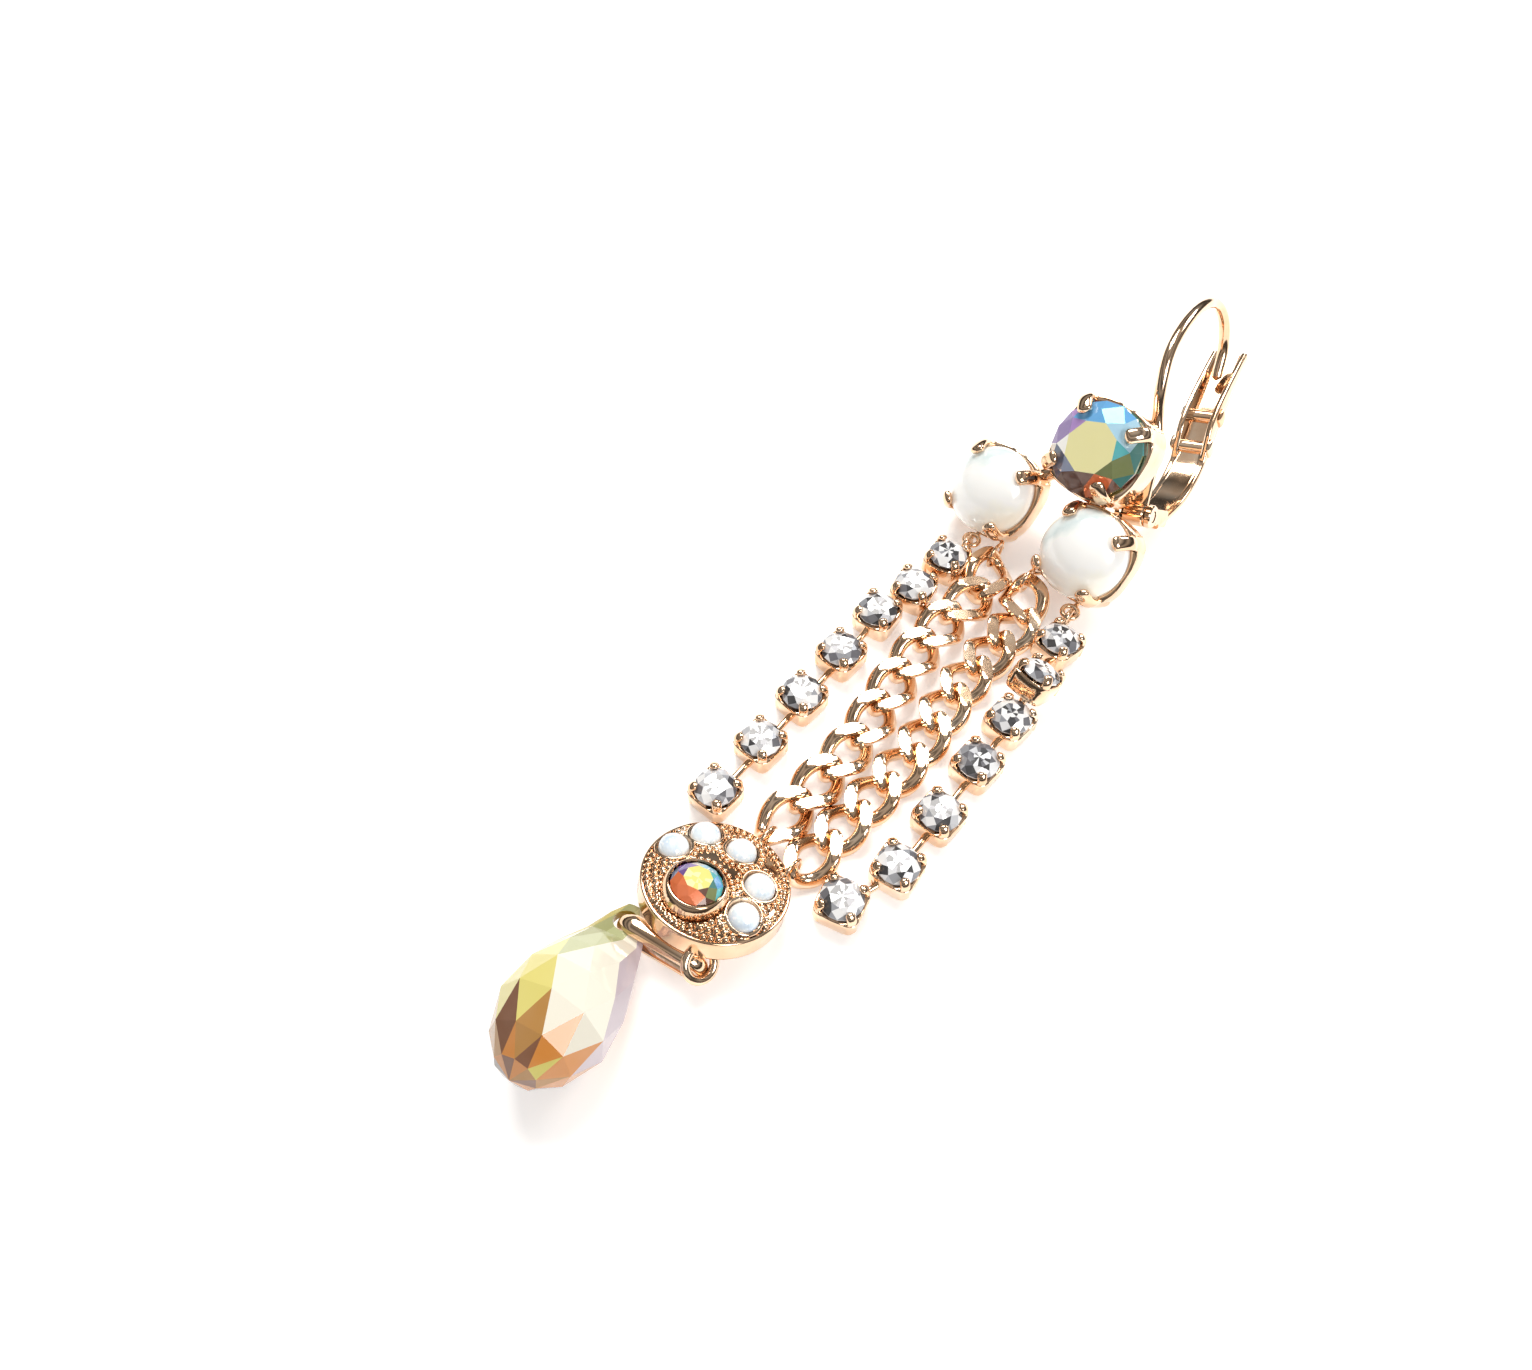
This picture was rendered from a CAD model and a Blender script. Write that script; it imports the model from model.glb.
"""The looks of a chandelier earring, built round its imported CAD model.

Lengths in the tables are millimetres in the part's own frame: +Z up from the table, +Y along the
earring from its drop to its ear wire, +X across it. The panel keeps its sizes in metres, as other
lengths in Blender, and sizes_of() reads them as millimetres. mesh_of() turns points into metres.
"""

import math
import types

import bpy
import numpy as np
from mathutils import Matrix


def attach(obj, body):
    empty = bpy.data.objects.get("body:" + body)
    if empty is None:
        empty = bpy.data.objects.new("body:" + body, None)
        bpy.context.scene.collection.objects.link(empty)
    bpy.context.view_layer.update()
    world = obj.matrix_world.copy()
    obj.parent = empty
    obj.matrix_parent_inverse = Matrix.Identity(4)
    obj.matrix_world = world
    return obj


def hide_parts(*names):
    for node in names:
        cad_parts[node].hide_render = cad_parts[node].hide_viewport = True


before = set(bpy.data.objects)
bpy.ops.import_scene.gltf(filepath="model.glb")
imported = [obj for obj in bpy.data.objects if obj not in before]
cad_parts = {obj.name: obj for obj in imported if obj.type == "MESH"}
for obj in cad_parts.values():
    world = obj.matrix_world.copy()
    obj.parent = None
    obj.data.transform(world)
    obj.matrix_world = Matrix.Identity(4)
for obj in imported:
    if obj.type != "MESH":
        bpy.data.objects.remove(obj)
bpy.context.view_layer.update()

bl_info = {
    "name": "Chandelier Earring",
    "version": (1, 0, 0),
    "blender": (4, 5, 0),
    "location": "View3D > Sidebar > Earring",
    "description": "Builds the metal, stones and stage of a chandelier earring",
    "category": "Object",
}

MM = 0.001

# Places of the cups: x, y of the girdle, height of the foot, lean and turn in degrees
LEFT_CUPS = [
    (-6.42, 14.95, 0.12, -4, 8), (-6.75, 11.15, 0, 0, 12), (-7.4, 7.5, 0.09, 3, 6),
    (-7.3, 3.1, 0, 0, -2), (-7.15, -1.55, 0, 0, -3), (-6.95, -6.2, 0, 0, -2), (-6.85, -10.95, 0, 0, -1),
]
RIGHT_CUPS = [
    (4.15, 13.6, 0.17, -6, -10), (4.9, 9.35, 1.5, -30, -8), (5.0, 6.0, 0, 0, -4),
    (5.2, 1.7, 0, 0, -3), (5.45, -3.05, 0, 0, -2), (5.55, -7.75, 0, 0, 6), (4.25, -11.85, 0, 0, 14),
]
LEFT_ROUTE = [(-2.75, 14.6), (-3.05, 11.4), (-3.1, 8.4), (-2.9, 5.0), (-2.5, 1.9), (-2.0, -1.2),
              (-1.9, -4.0), (-1.95, -7.0)]
RIGHT_ROUTE = [(0.55, 14.2), (0.5, 12.0), (0.45, 9.0), (0.5, 6.2), (0.8, 3.1), (1.1, -0.1),
               (1.05, -3.3), (0.85, -6.7)]
# The ear wire's and the lever's middle lines: shares of the loop's height and depth
WIRE_LINE = [(0.54, -0.1), (0.69, -0.1), (0.83, 0.04), (0.95, 0.28), (1.0, 0.53), (0.96, 0.77),
             (0.85, 0.9), (0.7, 0.91)]
LEVER_LINE = [(-0.035, 0.125), (0.03, 0.34), (0.115, 0.54), (0.235, 0.7), (0.38, 0.8), (0.54, 0.885),
              (0.7, 1.0), (0.84, 1.1)]
OPAL_PLACES = [(-3.35, -0.5), (-2.85, 1.75), (-0.4, 2.5), (2.2, 1.5), (3.1, -0.75)]
BRIOLETTE_SECTIONS = [  # share of the length, share of the width, flatness
    (0.0, 0.2, 0.4), (0.08, 0.36, 0.32), (0.2, 0.53, 0.24), (0.37, 0.8, 0.75), (0.54, 0.96, 1),
    (0.7, 1.0, 1), (0.86, 0.76, 1), (0.96, 0.4, 1),
]

# The visible pieces' own names, where they aren't made from the node's
PIECES = {
    "cluster": "head_and_ear_wire", "lever": "polished_lever", "top_crystal": "crown_crystal",
    "left_cabochon": "left_pearl_dome", "right_cabochon": "right_pearl_dome",
    "left_strand": "left_cup_strand", "right_strand": "right_cup_strand",
    "left_chain": "left_curb_chain", "right_chain": "right_curb_chain",
    "disc_setting": "pave_disc", "disc_crystal": "centre_crystal", "drop_bail": "bail",
    "briolette_drop": "amber_drop",
}

# Facet colours, one hand-picked list for each cut stone
AURORA = {
    "aqua": (0.08, 0.48, 0.52), "sky": (0.12, 0.42, 0.80), "pale_blue": (0.42, 0.70, 0.88),
    "lilac": (0.48, 0.30, 0.68), "pink": (0.78, 0.38, 0.50), "violet": (0.16, 0.08, 0.30),
    "slate": (0.16, 0.20, 0.32), "rust": (0.78, 0.17, 0.04), "brown": (0.12, 0.04, 0.02),
    "olive": (0.20, 0.24, 0.08), "teal": (0.05, 0.22, 0.20), "green": (0.25, 0.50, 0.30),
    "yellow": (0.96, 0.84, 0.24), "straw": (1.0, 0.95, 0.48), "white": (0.92, 0.92, 0.88),
}
# Rows from the drilled tip to the butt, columns round the drop from its right side over the top
BRIOLETTE_FACETS = [
    [3, 2, 1, 1, 3, 3, 5, 4, 3, 6],
    [6, 7, 1, 0, 3, 3, 5, 4, 3, 6],
    [6, 2, 7, 1, 0, 3, 4, 8, 4, 6],
    [6, 2, 7, 7, 0, 0, 4, 5, 3, 6],
    [6, 2, 2, 9, 0, 9, 8, 4, 8, 3],
    [2, 2, 9, 9, 0, 8, 4, 5, 3, 6],
    [3, 3, 8, 4, 8, 5, 5, 4, 8, 3],
    [9, 4, 3, 8, 5, 6, 4, 3, 5, 8],
    [8, 3, 4, 3, 5, 4, 8, 4, 3, 4],
]
CLEAR = [(0.03, 0.03, 0.035), (0.14, 0.14, 0.16), (0.33, 0.34, 0.37), (0.60, 0.61, 0.64),
         (0.86, 0.87, 0.89), (0.98, 0.98, 0.98)]
AMBER = [(0.46, 0.37, 0.03), (0.33, 0.34, 0.13), (0.80, 0.76, 0.64), (0.62, 0.22, 0.02),
         (0.20, 0.07, 0.02), (0.05, 0.02, 0.015), (0.50, 0.42, 0.47), (0.44, 0.47, 0.22),
         (0.42, 0.19, 0.02), (0.70, 0.62, 0.16)]


class EarringSizes(bpy.types.PropertyGroup):
    """Sizes of the pieces"""

    crown_diameter: bpy.props.FloatProperty(
        name="Crown Crystal", description="Width of the large faceted crystal",
        default=6.8 * MM, unit="LENGTH", precision=5)
    cabochon_diameter: bpy.props.FloatProperty(
        name="Cabochon", description="Width of a mother-of-pearl dome",
        default=6.5 * MM, unit="LENGTH", precision=5)
    cabochon_dome: bpy.props.FloatProperty(
        name="Cabochon Dome", description="Height of a mother-of-pearl dome",
        default=2.7 * MM, unit="LENGTH", precision=5)
    rhinestone_diameter: bpy.props.FloatProperty(
        name="Rhinestone", description="Width of a clear stone in a strand",
        default=2.86 * MM, unit="LENGTH", precision=5)
    cup_height: bpy.props.FloatProperty(
        name="Cup Height", description="Height of a rhinestone's cup",
        default=1.75 * MM, unit="LENGTH", precision=5)
    link_wire: bpy.props.FloatProperty(
        name="Link Wire", description="Thickness of the curb chain's wire",
        default=1.04 * MM, unit="LENGTH", precision=5)
    link_pitch: bpy.props.FloatProperty(
        name="Link Pitch", description="Distance from one chain link to the next",
        default=3.05 * MM, unit="LENGTH", precision=5)
    chain_thickness: bpy.props.FloatProperty(
        name="Chain Thickness", description="Height of the pressed chain",
        default=1.55 * MM, unit="LENGTH", precision=5)
    disc_radius: bpy.props.FloatProperty(
        name="Disc Radius", description="Radius of the pave disc",
        default=4.68 * MM, unit="LENGTH", precision=5)
    briolette_length: bpy.props.FloatProperty(
        name="Briolette Length", description="Length of the amber drop",
        default=13.3 * MM, unit="LENGTH", precision=5)
    briolette_diameter: bpy.props.FloatProperty(
        name="Briolette Width", description="Width of the amber drop",
        default=7.1 * MM, unit="LENGTH", precision=5)
    wire_diameter: bpy.props.FloatProperty(
        name="Ear Wire", description="Thickness of the ear wire",
        default=0.85 * MM, unit="LENGTH", precision=5)


class EarringColours(bpy.types.PropertyGroup):
    """Base colours of the plain finishes"""

    gold: bpy.props.FloatVectorProperty(
        name="Rose Gold", description="Colour of the polished metal", subtype="COLOR", size=3,
        min=0, max=1, default=(0.90, 0.64, 0.44))
    shell: bpy.props.FloatVectorProperty(
        name="Mother of Pearl", description="Colour of the domes", subtype="COLOR", size=3,
        min=0, max=1, default=(0.93, 0.93, 0.90))
    opal: bpy.props.FloatVectorProperty(
        name="Opal", description="Colour of the small stones", subtype="COLOR", size=3,
        min=0, max=1, default=(0.78, 0.86, 0.90))
    floor: bpy.props.FloatVectorProperty(
        name="Floor", description="Colour of the table", subtype="COLOR", size=3,
        min=0, max=1, default=(0.97, 0.97, 0.97))


def sizes_of(scene):
    """The panel's sizes in millimetres, by name."""
    group = scene.earring_sizes
    return types.SimpleNamespace(
        **{name: round(getattr(group, name) / MM, 4) for name in EarringSizes.__annotations__})


# ---------------------------------------------------------------- frames in the part


def turn(axis, degrees):
    """The 4 x 4 rotation about the x, y or z axis."""
    c, s = math.cos(math.radians(degrees)), math.sin(math.radians(degrees))
    a, b = {"x": (1, 2), "y": (2, 0), "z": (0, 1)}[axis]
    matrix = np.eye(4)
    matrix[a, a] = matrix[b, b] = c
    matrix[a, b], matrix[b, a] = -s, s
    return matrix


def shift(x, y, z):
    """The 4 x 4 move by x, y, z."""
    matrix = np.eye(4)
    matrix[:3, 3] = x, y, z
    return matrix


def put(points, matrix):
    """Points of any array shape, moved by a 4 x 4 matrix."""
    return np.asarray(points, float) @ matrix[:3, :3].T + matrix[:3, 3]


MODEL = shift(1.3835, -5.6091, 0)  # from the routes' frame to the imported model's
HEAD = MODEL @ shift(-2.3, 19.7, 4.457) @ turn("z", -12) @ turn("x", 49.5) @ turn("z", 4)
LEFT_CAB, RIGHT_CAB, CROWN = (-4.4, 0, 0), (4.4, 0, 0), (0.9, 6.5, 0)
WIRE_HEIGHT, LOOP_DEPTH = 16.5, 11.4
LOOP_TWIST = math.radians(22)
LOOP = np.eye(4)
LOOP[:3, 0] = -math.sin(LOOP_TWIST), math.cos(LOOP_TWIST), 0
LOOP[:3, 1] = 0, 0, -1
LOOP[:3, 2] = np.cross(LOOP[:3, 0], LOOP[:3, 1])
LOOP[:3, 3] = 4.25, 3.75, -5.0
LOOP = HEAD @ LOOP
DISC_TILT, DISC_TURN, DISC_RADIUS = 18, -6, 4.68
DISC_LIFT = DISC_RADIUS * math.sin(math.radians(DISC_TILT))
DISC = MODEL @ shift(-2.15, -16.7, DISC_LIFT) @ turn("x", -DISC_TILT) @ turn("z", DISC_TURN)
STONE_GAP = 0.08  # the stones stand a little over their seats
CUP_SEAT = 1.8  # a rhinestone's girdle over its cup's foot
BAR_HEIGHT, BAR_RADIUS, BAR_WAIST = 0.42, 0.42, 0.6  # the bars between the cups
RING_RADIUS, RING_WIRE = 0.56, 0.2  # the rings at the strands' tops and the eyes they hang in
LINK_TWIST = 104  # degrees from one end of a link to the other
LINK_WIDTH, LINK_WIDTH_LAST = 3.8, 3.55  # at the head and at the disc
CHAIN_SPREAD, CHAIN_LIFT = 0.22, 0.06  # how far the chains lie off their routes and the table
CRYSTAL_RADIUS, CRYSTAL_DROP, CRYSTAL_LIFT = 1.6, 1.9, 0.35  # the disc's own crystal
OPAL_RADIUS, OPAL_BORE, BEAD = 0.98, 1.03, 0.2
BEAD_PITCH, MILGRAIN_PITCH = 0.42, 0.44
LIP, BEZEL, BEZEL_SLOPE = 0.12, 0.36, 0.3  # round an opal, and round the crystal
HINGE_BORE, HINGE_RADIUS, EAR_OFFSET = 0.43, 0.85, 1.12
SCOOP_START = 0.52  # the share of the lever at which its sides rise
BAND_SHARES = (0.55, 0.69)
# Depth, prongs' rise and base, lip, the foot's share of the width, prongs' sweep in degrees
CAB_SETTING = (3.4, 2.31, -0.13, -0.58, 0.9, 40)
CROWN_SETTING = (4.75, 1.2, 0.1, -0.34, 0.78, 46)
SOLDER_DEPTH, SOLDER_RADIUS = 1.7, 0.55
BAIL_PLACE, BAIL_TURN = (-2.35, -21.05, 0), 9
BAIL_LENGTH, BAIL_WIRE, BAIL_BEND, BAIL_STRAIGHT = 6.4, 0.8, 0.9, 1.9
BRIOLETTE_SIDES, BRIOLETTE_TURN, BRIOLETTE_LEAN = 10, 12.5, -16.5
DRILL_DEPTH, DRILL_RADIUS = 1.35, 0.8


def cup_frame(place):
    """A cup's frame: it turns and leans about its girdle, which stays above x, y."""
    x, y, foot, lean, yaw = place
    about = shift(x, y, foot + CUP_SEAT) @ turn("z", yaw) @ turn("x", lean)
    return MODEL @ about @ shift(0, 0, -CUP_SEAT)


# ---------------------------------------------------------------- surfaces as whole arrays


def outward(points, faces):
    """A part whose faces point out: they are turned round where the signed volume is negative."""
    volume = 0.0
    for group in faces:
        for k in range(1, group.shape[1] - 1):
            a, b, c = points[group[:, 0]], points[group[:, k]], points[group[:, k + 1]]
            volume += np.einsum("ij,ij->", a, np.cross(b, c))
    return points, [g if volume > 0 else g[:, ::-1] for g in faces]


def loft(rows, ring=False):
    """A closed part from rings of points, shape (rings, points, 3), each ring closed on itself.

    With ring the last row meets the first, as on a torus. Otherwise each end is closed by a fan to
    the middle of its row.
    """
    count, around = rows.shape[:2]
    row = np.arange(count if ring else count - 1)[:, None] * around
    col = np.arange(around)[None]
    nxt = (col + 1) % around
    above = (row + around) % (count * around)
    quads = np.stack([row + col, row + nxt, above + nxt, above + col], -1).reshape(-1, 4)
    points = rows.reshape(-1, 3)
    if ring:
        return outward(points, [quads])
    ends = [rows[0].mean(0), rows[-1].mean(0)]
    col, nxt = col[0], nxt[0]
    low, high = np.full(around, len(points)), np.full(around, len(points) + 1)
    last = (count - 1) * around
    tris = np.vstack([np.stack([low, nxt, col], -1), np.stack([high, last + col, last + nxt], -1)])
    return outward(np.vstack([points, ends]), [quads, tris])


def sheet(outer, inner):
    """A closed part between two grids of the same shape, joined along their edges."""
    n, m = outer.shape[:2]
    index = np.arange(n * m).reshape(n, m)
    far = index + n * m

    def faces(a, b, c, d):
        """Quads from the numbers of their four points."""
        return np.stack([a.ravel(), b.ravel(), c.ravel(), d.ravel()], -1)

    quads = [
        faces(index[:-1, :-1], index[:-1, 1:], index[1:, 1:], index[1:, :-1]),
        faces(far[:-1, :-1], far[1:, :-1], far[1:, 1:], far[:-1, 1:]),
        faces(index[:-1, 0], index[1:, 0], far[1:, 0], far[:-1, 0]),
        faces(index[1:, -1], index[:-1, -1], far[:-1, -1], far[1:, -1]),
        faces(index[0, 1:], index[0, :-1], far[0, :-1], far[0, 1:]),
        faces(index[-1, :-1], index[-1, 1:], far[-1, 1:], far[-1, :-1]),
    ]
    points = np.vstack([outer.reshape(-1, 3), inner.reshape(-1, 3)])
    return outward(points, [np.vstack(quads)])


def moved(part, matrix):
    """The part in another frame."""
    return put(part[0], matrix), part[1]


def corners(part):
    """Four copies, a quarter turn apart, starting on the diagonal."""
    return [moved(part, turn("z", 45 + 90 * k)) for k in range(4)]


def smooth_line(places, count):
    """Points at even steps along a centripetal Catmull-Rom curve through the places."""
    p = np.asarray(places, float)
    p = np.vstack([2 * p[0] - p[1], p, 2 * p[-1] - p[-2]])
    gap = np.sqrt(np.linalg.norm(np.diff(p, axis=0), axis=1))[:, None]
    p0, p1, p2, p3 = p[:-3], p[1:-2], p[2:-1], p[3:]
    d0, d1, d2 = gap[:-2], gap[1:-1], gap[2:]
    t1 = ((p1 - p0) / d0 - (p2 - p0) / (d0 + d1) + (p2 - p1) / d1) * d1
    t2 = ((p2 - p1) / d1 - (p3 - p1) / (d1 + d2) + (p3 - p2) / d2) * d1
    u = np.linspace(0, 1, 41)[:-1, None, None]
    line = ((2 * u**3 - 3 * u**2 + 1) * p1 + (u**3 - 2 * u**2 + u) * t1
            + (3 * u**2 - 2 * u**3) * p2 + (u**3 - u**2) * t2)
    line = np.vstack([line.transpose(1, 0, 2).reshape(-1, p.shape[1]), p[-2]])
    run = np.r_[0, np.cumsum(np.linalg.norm(np.diff(line, axis=0), axis=1))]
    even = np.linspace(0, run[-1], count)
    return np.stack([np.interp(even, run, line[:, k]) for k in range(p.shape[1])], axis=1)


def unit(vectors):
    """Vectors of length one, the same way."""
    return vectors / np.linalg.norm(vectors, axis=-1, keepdims=True)


def tube(line, across, half_width, half_thick, sides=16, power=2.0, ends=(False, True)):
    """A rod along a flat line. Its section is the superellipse |u / width|^p + |v / thick|^p = 1,
    u along `across`. A round end shrinks it as the root of 1 - s^2 over the last half thickness."""
    line = np.asarray(line, float)
    run = np.r_[0, np.cumsum(np.linalg.norm(np.diff(line, axis=0), axis=1))]
    width, thick = np.broadcast_to(half_width, run.shape), np.broadcast_to(half_thick, run.shape)
    left = np.full(run.shape, np.inf)
    if ends[0]:
        left = np.minimum(left, run)
    if ends[1]:
        left = np.minimum(left, run[-1] - run)
    cap = np.sqrt(np.clip(1 - (1 - np.minimum(left / thick, 1)) ** 2, 0.02, 1))
    along = unit(np.gradient(line, axis=0))
    up = unit(np.cross(np.broadcast_to(across, along.shape), along))
    side = np.cross(along, up)
    angle = np.arange(sides) * 2 * math.pi / sides + math.pi / sides
    c, s = np.cos(angle)[None], np.sin(angle)[None]
    p = np.broadcast_to(power, run.shape)[:, None]
    radius = (np.abs(c) ** p + np.abs(s) ** p) ** (-1 / p)
    u = (c * radius * (width * cap)[:, None])[..., None] * side[:, None]
    v = (s * radius * (thick * cap)[:, None])[..., None] * up[:, None]
    return loft(line[:, None] + u + v)


def rod(start, end, radius, steps=2, waist=1.0):
    """A straight round rod, thinner by `waist` at its middle: radius times 1 + (waist - 1) sin."""
    share = np.linspace(0, 1, max(steps, 2))[:, None]
    start, end = np.asarray(start, float), np.asarray(end, float)
    line = start + (end - start) * share
    axis = unit(end - start)
    across = np.array([0, 0, 1.0]) if abs(axis[2]) < 0.9 else np.array([1.0, 0, 0])
    across = unit(np.cross(axis, across))
    radii = radius * (1 + (waist - 1) * np.sin(math.pi * share[:, 0]))
    return tube(line, across, radii, radii, ends=(False, False))


def torus(centre, normal, radius, wire, steps=40, sides=14):
    """A round ring of wire whose hole is seen along `normal`."""
    normal = unit(np.asarray(normal, float))
    first = unit(np.cross(normal, [0, 0, 1.0] if abs(normal[2]) < 0.9 else [0, 1.0, 0]))
    second = np.cross(normal, first)
    a = (np.arange(steps) * 2 * math.pi / steps)[:, None, None]
    b = (np.arange(sides) * 2 * math.pi / sides)[None, :, None]
    out = first * np.cos(a) + second * np.sin(a)
    rows = centre + out * (radius + wire * np.cos(b)) + normal * wire * np.sin(b)
    return loft(rows, ring=True)


def turned(profile, sides, square=0.0, dip=0.0, power=3):
    """A turned shape from rows of (radius, height, square share, dip share), closed at both ends.

    The radius grows towards the diagonals as (|cos|^p + |sin|^p)^(-1/p), and the height falls by
    dip times cos^2 of twice the angle, so that the wall dips between its corners.
    """
    profile = np.asarray([(*row, 0, 0)[:4] for row in profile], float)
    angle = (np.arange(sides) * 2 * math.pi / sides)[None]
    c, s = np.cos(angle), np.sin(angle)
    stretch = (np.abs(c) ** power + np.abs(s) ** power) ** (-1 / power)
    radius = profile[:, :1] * (1 + square * profile[:, 2:3] * (stretch - 1))
    height = profile[:, 1:2] - dip * profile[:, 3:4] * np.cos(2 * angle) ** 2
    rows = np.stack([radius * c, radius * s, np.broadcast_to(height, radius.shape)], -1)
    return loft(rows)


def hollow(profile, sides):
    """A turned ring from a closed loop of (radius, height)."""
    r, z = np.asarray(profile, float).T
    angle = (np.arange(sides) * 2 * math.pi / sides)[:, None]
    rows = np.stack([r * np.cos(angle), r * np.sin(angle), np.broadcast_to(z, (sides, len(z)))], -1)
    return loft(rows, ring=True)


# ---------------------------------------------------------------- pieces from parts


def plain(node):
    """The visible piece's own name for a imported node."""
    return PIECES.get(node, node.replace("rhinestone", "stone").replace("disc_", ""))


def mesh_of(name, parts):
    """One mesh in metres from parts in millimetres."""
    offset = np.cumsum([0] + [len(points) for points, _ in parts])
    points = np.vstack([points for points, _ in parts]) * MM
    faces = [face for start, (_, groups) in zip(offset, parts)
             for group in groups for face in (group + start).tolist()]
    mesh = bpy.data.meshes.new(name)
    mesh.from_pydata(points.tolist(), [], faces)
    return mesh


def baked(obj):
    """The object's mesh with its modifiers applied, in place."""
    graph = bpy.context.evaluated_depsgraph_get()
    mesh = bpy.data.meshes.new_from_object(obj.evaluated_get(graph))
    obj.modifiers.clear()
    old, obj.data = obj.data, mesh
    bpy.data.meshes.remove(old)
    return obj


def keep_values(obj, name, domain, values):
    """Numbers kept on the points or faces of the mesh, for its finish to read."""
    attribute = obj.data.attributes.new(name, "FLOAT", domain)
    attribute.data.foreach_set("value", values.astype(np.float32))


def put_in_scene(name, mesh):
    """A new object in the scene's own collection."""
    obj = bpy.data.objects.new(name, mesh)
    bpy.context.scene.collection.objects.link(obj)
    return obj


def boolean(obj, parts, operation, use_self):
    """Joins parts to the piece, or cuts them out of it, with the exact solver."""
    tool = put_in_scene("tool", mesh_of("tool", parts))
    change = obj.modifiers.new("join", "BOOLEAN")
    change.operation, change.solver, change.use_self, change.object = operation, "EXACT", use_self, tool
    baked(obj)
    bpy.data.objects.remove(tool)
    return obj


def shade_smooth(obj, material, sharp):
    """Smooth faces, sharp edges over an angle in degrees, and one material."""
    mesh = obj.data
    mesh.polygons.foreach_set("use_smooth", np.ones(len(mesh.polygons), bool))
    mesh.set_sharp_from_angle(angle=math.radians(sharp))
    mesh.materials.clear()
    mesh.materials.append(material)


def make_piece(name, parts, material, *, body="earring", sharp=38, cut=None):
    """One visible piece: its parts fused into one body, shaded, and bound to the frame."""
    obj = put_in_scene(plain(name), mesh_of(plain(name), parts[:-1] if len(parts) > 1 else parts))
    if len(parts) > 1:
        boolean(obj, parts[-1:], "UNION", True)
    if cut:
        boolean(obj, cut, "DIFFERENCE", False)
    obj.data.validate()
    shade_smooth(obj, material, sharp)
    obj.data.name = plain(name)
    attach(obj, body)
    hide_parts(name)
    return obj


def flat_stone(name, part, tones, material, *, slot):
    """A cut stone with one tone a facet, kept on the faces as the attribute `facet`."""
    obj = put_in_scene(plain(name), mesh_of(plain(name), [part]))
    keep_values(obj, "facet", "FACE", tones)
    obj.data.materials.append(material)
    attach(obj, "earring")
    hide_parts(name)
    return obj


# ---------------------------------------------------------------- finishes


class Value:
    """A value of a finish's nodes. Sums and products with numbers or values add the nodes."""

    def __init__(self, finish, socket):
        self.finish, self.socket = finish, socket

    def _math(self, operation, first, second):
        return self.finish.node("ShaderNodeMath", {0: first, 1: second}, operation=operation)

    def __add__(self, other): return self._math("ADD", self, other)
    def __radd__(self, other): return self._math("ADD", other, self)
    def __sub__(self, other): return self._math("SUBTRACT", self, other)
    def __rsub__(self, other): return self._math("SUBTRACT", other, self)
    def __mul__(self, other): return self._math("MULTIPLY", self, other)
    def __rmul__(self, other): return self._math("MULTIPLY", other, self)
    def __truediv__(self, other): return self._math("DIVIDE", self, other)
    def __rtruediv__(self, other): return self._math("DIVIDE", other, self)
    def __pow__(self, other): return self._math("POWER", self, other)
    def __rpow__(self, other): return self._math("POWER", other, self)


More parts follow.
